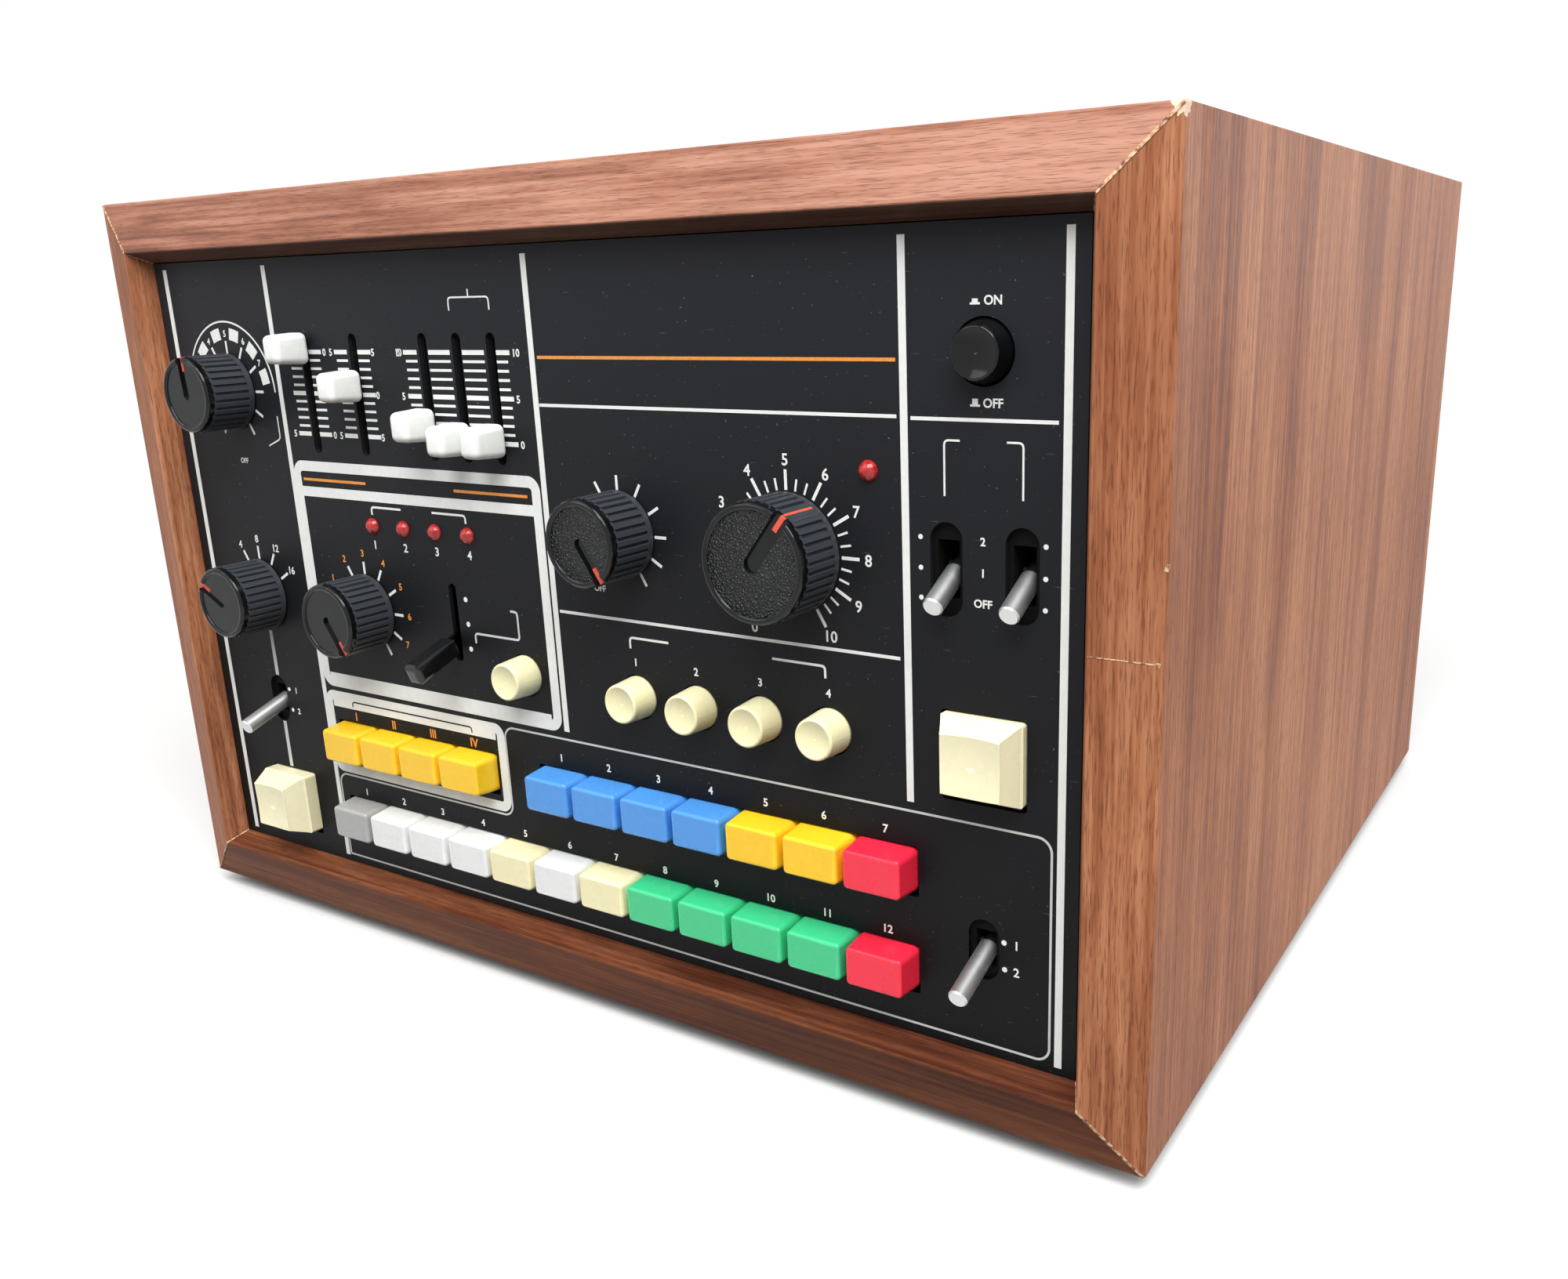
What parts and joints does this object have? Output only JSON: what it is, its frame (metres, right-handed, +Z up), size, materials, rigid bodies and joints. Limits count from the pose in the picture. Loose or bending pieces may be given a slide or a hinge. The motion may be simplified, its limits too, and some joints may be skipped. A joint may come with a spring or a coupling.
{
  "type": "drum machine",
  "caption": "Table-top drum machine: a mitred wooden case round a black control panel with fluted dials, sliders, toggle levers, lamps and rows of coloured push buttons.",
  "frame": {"origin": "middle of the footprint on the surface the feet stand on", "axes": "+X to the right of someone facing the panel, +Y to the back, +Z up; the control panel faces -Y"},
  "size_m": [0.394, 0.3798, 0.263],
  "materials": {
    "walnut_veneer": "satin",
    "black_panel_paint": "satin",
    "zinc_steel": "matt",
    "foot_rubber": "matt",
    "circuit_laminate": "satin",
    "transformer_iron": "matt",
    "lamp_plastic": "gloss",
    "screw_steel": "satin",
    "switch_plastic": "matt",
    "socket_plastic": "satin",
    "black_knob_plastic": "satin with gloss crown",
    "white_cap_plastic": "satin",
    "lever_aluminium": "turned",
    "cream_plastic": "satin",
    "amber_plastic": "satin",
    "blue_plastic": "satin",
    "red_plastic": "satin",
    "green_plastic": "satin",
    "white_plastic": "satin",
    "grey_plastic": "satin"
  },
  "bodies": {
    "cabinet": {"cabinet_boards": "walnut_veneer", "front_panel": "black_panel_paint", "chassis": "zinc_steel", "rear_panel": "black_panel_paint", "rubber_feet": "foot_rubber", "circuit_boards": "circuit_laminate", "power_transformer": "transformer_iron", "indicator_leds": "lamp_plastic", "fasteners": "screw_steel", "push_switch_bodies": "switch_plastic", "toggle_switch_bodies": "zinc_steel", "rotary_bodies": "zinc_steel", "slide_pot_bodies": "zinc_steel", "rear_sockets": "socket_plastic"},
    "variation_knob": {"variation_knob": "black_knob_plastic"},
    "measure_knob": {"measure_knob": "black_knob_plastic"},
    "instrument_knob": {"instrument_knob": "black_knob_plastic"},
    "accent_knob": {"accent_knob": "black_knob_plastic"},
    "tempo_knob": {"tempo_knob": "black_knob_plastic"},
    "volume_slider": {"volume_slider": "white_cap_plastic"},
    "balance_slider": {"balance_slider": "white_cap_plastic"},
    "metallic_slider": {"metallic_slider": "white_cap_plastic"},
    "tambourine_slider": {"tambourine_slider": "white_cap_plastic"},
    "guiro_slider": {"guiro_slider": "white_cap_plastic"},
    "mode_lever": {"mode_lever": "black_knob_plastic"},
    "fade_in_toggle": {"fade_in_toggle": "lever_aluminium"},
    "fade_out_toggle": {"fade_out_toggle": "lever_aluminium"},
    "rhythm_toggle": {"rhythm_toggle": "lever_aluminium"},
    "fill_toggle": {"fill_toggle": "lever_aluminium"},
    "power_button": {"power_button": "black_knob_plastic"},
    "start_button": {"start_button": "cream_plastic"},
    "fill_button": {"fill_button": "cream_plastic"},
    "clear_button": {"clear_button": "cream_plastic"},
    "voice_button_1": {"voice_button_1": "cream_plastic"},
    "voice_button_2": {"voice_button_2": "cream_plastic"},
    "voice_button_3": {"voice_button_3": "cream_plastic"},
    "voice_button_4": {"voice_button_4": "cream_plastic"},
    "program_button_1": {"program_button_1": "amber_plastic"},
    "program_button_2": {"program_button_2": "amber_plastic"},
    "program_button_3": {"program_button_3": "amber_plastic"},
    "program_button_4": {"program_button_4": "amber_plastic"},
    "upper_button_1": {"upper_button_1": "blue_plastic"},
    "upper_button_2": {"upper_button_2": "blue_plastic"},
    "upper_button_3": {"upper_button_3": "blue_plastic"},
    "upper_button_4": {"upper_button_4": "blue_plastic"},
    "upper_button_5": {"upper_button_5": "amber_plastic"},
    "upper_button_6": {"upper_button_6": "amber_plastic"},
    "upper_button_7": {"upper_button_7": "red_plastic"},
    "lower_button_1": {"lower_button_1": "grey_plastic"},
    "lower_button_2": {"lower_button_2": "white_plastic"},
    "lower_button_3": {"lower_button_3": "white_plastic"},
    "lower_button_4": {"lower_button_4": "white_plastic"},
    "lower_button_5": {"lower_button_5": "cream_plastic"},
    "lower_button_6": {"lower_button_6": "white_plastic"},
    "lower_button_7": {"lower_button_7": "cream_plastic"},
    "lower_button_8": {"lower_button_8": "green_plastic"},
    "lower_button_9": {"lower_button_9": "green_plastic"},
    "lower_button_10": {"lower_button_10": "green_plastic"},
    "lower_button_11": {"lower_button_11": "green_plastic"},
    "lower_button_12": {"lower_button_12": "red_plastic"}
  },
  "joints": [
    {"name": "variation_turn", "type": "hinge", "parent": "cabinet", "child": "variation_knob", "pos_m": [-0.1413, -0.16957, 0.1988], "axis": [0, 1, 0], "range_deg": [-176, 154]},
    {"name": "measure_turn", "type": "hinge", "parent": "cabinet", "child": "measure_knob", "pos_m": [-0.1413, -0.16957, 0.1265], "axis": [0, 1, 0], "range_deg": [-28, 122]},
    {"name": "instrument_turn", "type": "hinge", "parent": "cabinet", "child": "instrument_knob", "pos_m": [-0.0836, -0.16957, 0.1261], "axis": [0, 1, 0], "range_deg": [-297, 3]},
    {"name": "accent_turn", "type": "hinge", "parent": "cabinet", "child": "accent_knob", "pos_m": [0.033, -0.16957, 0.1612], "axis": [0, 1, 0], "range_deg": [-297, 3]},
    {"name": "tempo_turn", "type": "hinge", "parent": "cabinet", "child": "tempo_knob", "pos_m": [0.092, -0.16957, 0.1605], "axis": [0, 1, 0], "range_deg": [-188, 112]},
    {"name": "volume_slide", "type": "slide", "parent": "cabinet", "child": "volume_slider", "axis": [0, 0, 1], "range_m": [-0.03, 0]},
    {"name": "balance_slide", "type": "slide", "parent": "cabinet", "child": "balance_slider", "axis": [0, 0, 1], "range_m": [-0.0183, 0.0117]},
    {"name": "metallic_slide", "type": "slide", "parent": "cabinet", "child": "metallic_slider", "axis": [0, 0, 1], "range_m": [-0.00696, 0.02304]},
    {"name": "tambourine_slide", "type": "slide", "parent": "cabinet", "child": "tambourine_slider", "axis": [0, 0, 1], "range_m": [-0.00315, 0.02685]},
    {"name": "guiro_slide", "type": "slide", "parent": "cabinet", "child": "guiro_slider", "axis": [0, 0, 1], "range_m": [-0.00315, 0.02685]},
    {"name": "mode_tip", "type": "hinge", "parent": "cabinet", "child": "mode_lever", "pos_m": [-0.0412, -0.15357, 0.1265], "axis": [-1, 0, 0], "range_deg": [0, 40]},
    {"name": "fade_in_tip", "type": "hinge", "parent": "cabinet", "child": "fade_in_toggle", "pos_m": [0.1395, -0.16157, 0.16], "axis": [-1, 0, 0], "range_deg": [0, 54]},
    {"name": "fade_out_tip", "type": "hinge", "parent": "cabinet", "child": "fade_out_toggle", "pos_m": [0.1601, -0.16157, 0.16], "axis": [-1, 0, 0], "range_deg": [0, 54]},
    {"name": "rhythm_tip", "type": "hinge", "parent": "cabinet", "child": "rhythm_toggle", "pos_m": [0.1497, -0.16457, 0.058], "axis": [-1, 0, 0], "range_deg": [0, 38]},
    {"name": "fill_tip", "type": "hinge", "parent": "cabinet", "child": "fill_toggle", "pos_m": [-0.142, -0.16457, 0.0865], "axis": [-1, 0, 0], "range_deg": [0, 38]},
    {"name": "power_press", "type": "slide", "parent": "cabinet", "child": "power_button", "axis": [0, 1, 0], "range_m": [0, 0.003], "stiffness_N_per_m": 300, "springref_m": -0.001},
    {"name": "start_press", "type": "slide", "parent": "cabinet", "child": "start_button", "axis": [0, 1, 0], "range_m": [0, 0.0035], "stiffness_N_per_m": 300, "springref_m": -0.001},
    {"name": "fill_press", "type": "slide", "parent": "cabinet", "child": "fill_button", "axis": [0, 1, 0], "range_m": [0, 0.0035], "stiffness_N_per_m": 300, "springref_m": -0.001},
    {"name": "clear_press", "type": "slide", "parent": "cabinet", "child": "clear_button", "axis": [0, 1, 0], "range_m": [0, 0.0035], "stiffness_N_per_m": 300, "springref_m": -0.001},
    {"name": "voice_1_press", "type": "slide", "parent": "cabinet", "child": "voice_button_1", "axis": [0, 1, 0], "range_m": [0, 0.0035], "stiffness_N_per_m": 300, "springref_m": -0.001},
    {"name": "voice_2_press", "type": "slide", "parent": "cabinet", "child": "voice_button_2", "axis": [0, 1, 0], "range_m": [0, 0.0035], "stiffness_N_per_m": 300, "springref_m": -0.001},
    {"name": "voice_3_press", "type": "slide", "parent": "cabinet", "child": "voice_button_3", "axis": [0, 1, 0], "range_m": [0, 0.0035], "stiffness_N_per_m": 300, "springref_m": -0.001},
    {"name": "voice_4_press", "type": "slide", "parent": "cabinet", "child": "voice_button_4", "axis": [0, 1, 0], "range_m": [0, 0.0035], "stiffness_N_per_m": 300, "springref_m": -0.001},
    {"name": "program_1_press", "type": "slide", "parent": "cabinet", "child": "program_button_1", "axis": [0, 1, 0], "range_m": [0, 0.0035], "stiffness_N_per_m": 300, "springref_m": -0.001},
    {"name": "program_2_press", "type": "slide", "parent": "cabinet", "child": "program_button_2", "axis": [0, 1, 0], "range_m": [0, 0.0035], "stiffness_N_per_m": 300, "springref_m": -0.001},
    {"name": "program_3_press", "type": "slide", "parent": "cabinet", "child": "program_button_3", "axis": [0, 1, 0], "range_m": [0, 0.0035], "stiffness_N_per_m": 300, "springref_m": -0.001},
    {"name": "program_4_press", "type": "slide", "parent": "cabinet", "child": "program_button_4", "axis": [0, 1, 0], "range_m": [0, 0.0035], "stiffness_N_per_m": 300, "springref_m": -0.001},
    {"name": "upper_1_press", "type": "slide", "parent": "cabinet", "child": "upper_button_1", "axis": [0, 1, 0], "range_m": [0, 0.0035], "stiffness_N_per_m": 300, "springref_m": -0.001},
    {"name": "upper_2_press", "type": "slide", "parent": "cabinet", "child": "upper_button_2", "axis": [0, 1, 0], "range_m": [0, 0.0035], "stiffness_N_per_m": 300, "springref_m": -0.001},
    {"name": "upper_3_press", "type": "slide", "parent": "cabinet", "child": "upper_button_3", "axis": [0, 1, 0], "range_m": [0, 0.0035], "stiffness_N_per_m": 300, "springref_m": -0.001},
    {"name": "upper_4_press", "type": "slide", "parent": "cabinet", "child": "upper_button_4", "axis": [0, 1, 0], "range_m": [0, 0.0035], "stiffness_N_per_m": 300, "springref_m": -0.001},
    {"name": "upper_5_press", "type": "slide", "parent": "cabinet", "child": "upper_button_5", "axis": [0, 1, 0], "range_m": [0, 0.0035], "stiffness_N_per_m": 300, "springref_m": -0.001},
    {"name": "upper_6_press", "type": "slide", "parent": "cabinet", "child": "upper_button_6", "axis": [0, 1, 0], "range_m": [0, 0.0035], "stiffness_N_per_m": 300, "springref_m": -0.001},
    {"name": "upper_7_press", "type": "slide", "parent": "cabinet", "child": "upper_button_7", "axis": [0, 1, 0], "range_m": [0, 0.0035], "stiffness_N_per_m": 300, "springref_m": -0.001},
    {"name": "lower_1_press", "type": "slide", "parent": "cabinet", "child": "lower_button_1", "axis": [0, 1, 0], "range_m": [0, 0.0035], "stiffness_N_per_m": 300, "springref_m": -0.001},
    {"name": "lower_2_press", "type": "slide", "parent": "cabinet", "child": "lower_button_2", "axis": [0, 1, 0], "range_m": [0, 0.0035], "stiffness_N_per_m": 300, "springref_m": -0.001},
    {"name": "lower_3_press", "type": "slide", "parent": "cabinet", "child": "lower_button_3", "axis": [0, 1, 0], "range_m": [0, 0.0035], "stiffness_N_per_m": 300, "springref_m": -0.001},
    {"name": "lower_4_press", "type": "slide", "parent": "cabinet", "child": "lower_button_4", "axis": [0, 1, 0], "range_m": [0, 0.0035], "stiffness_N_per_m": 300, "springref_m": -0.001},
    {"name": "lower_5_press", "type": "slide", "parent": "cabinet", "child": "lower_button_5", "axis": [0, 1, 0], "range_m": [0, 0.0035], "stiffness_N_per_m": 300, "springref_m": -0.001},
    {"name": "lower_6_press", "type": "slide", "parent": "cabinet", "child": "lower_button_6", "axis": [0, 1, 0], "range_m": [0, 0.0035], "stiffness_N_per_m": 300, "springref_m": -0.001},
    {"name": "lower_7_press", "type": "slide", "parent": "cabinet", "child": "lower_button_7", "axis": [0, 1, 0], "range_m": [0, 0.0035], "stiffness_N_per_m": 300, "springref_m": -0.001},
    {"name": "lower_8_press", "type": "slide", "parent": "cabinet", "child": "lower_button_8", "axis": [0, 1, 0], "range_m": [0, 0.0035], "stiffness_N_per_m": 300, "springref_m": -0.001},
    {"name": "lower_9_press", "type": "slide", "parent": "cabinet", "child": "lower_button_9", "axis": [0, 1, 0], "range_m": [0, 0.0035], "stiffness_N_per_m": 300, "springref_m": -0.001},
    {"name": "lower_10_press", "type": "slide", "parent": "cabinet", "child": "lower_button_10", "axis": [0, 1, 0], "range_m": [0, 0.0035], "stiffness_N_per_m": 300, "springref_m": -0.001},
    {"name": "lower_11_press", "type": "slide", "parent": "cabinet", "child": "lower_button_11", "axis": [0, 1, 0], "range_m": [0, 0.0035], "stiffness_N_per_m": 300, "springref_m": -0.001},
    {"name": "lower_12_press", "type": "slide", "parent": "cabinet", "child": "lower_button_12", "axis": [0, 1, 0], "range_m": [0, 0.0035], "stiffness_N_per_m": 300, "springref_m": -0.001}
  ]
}
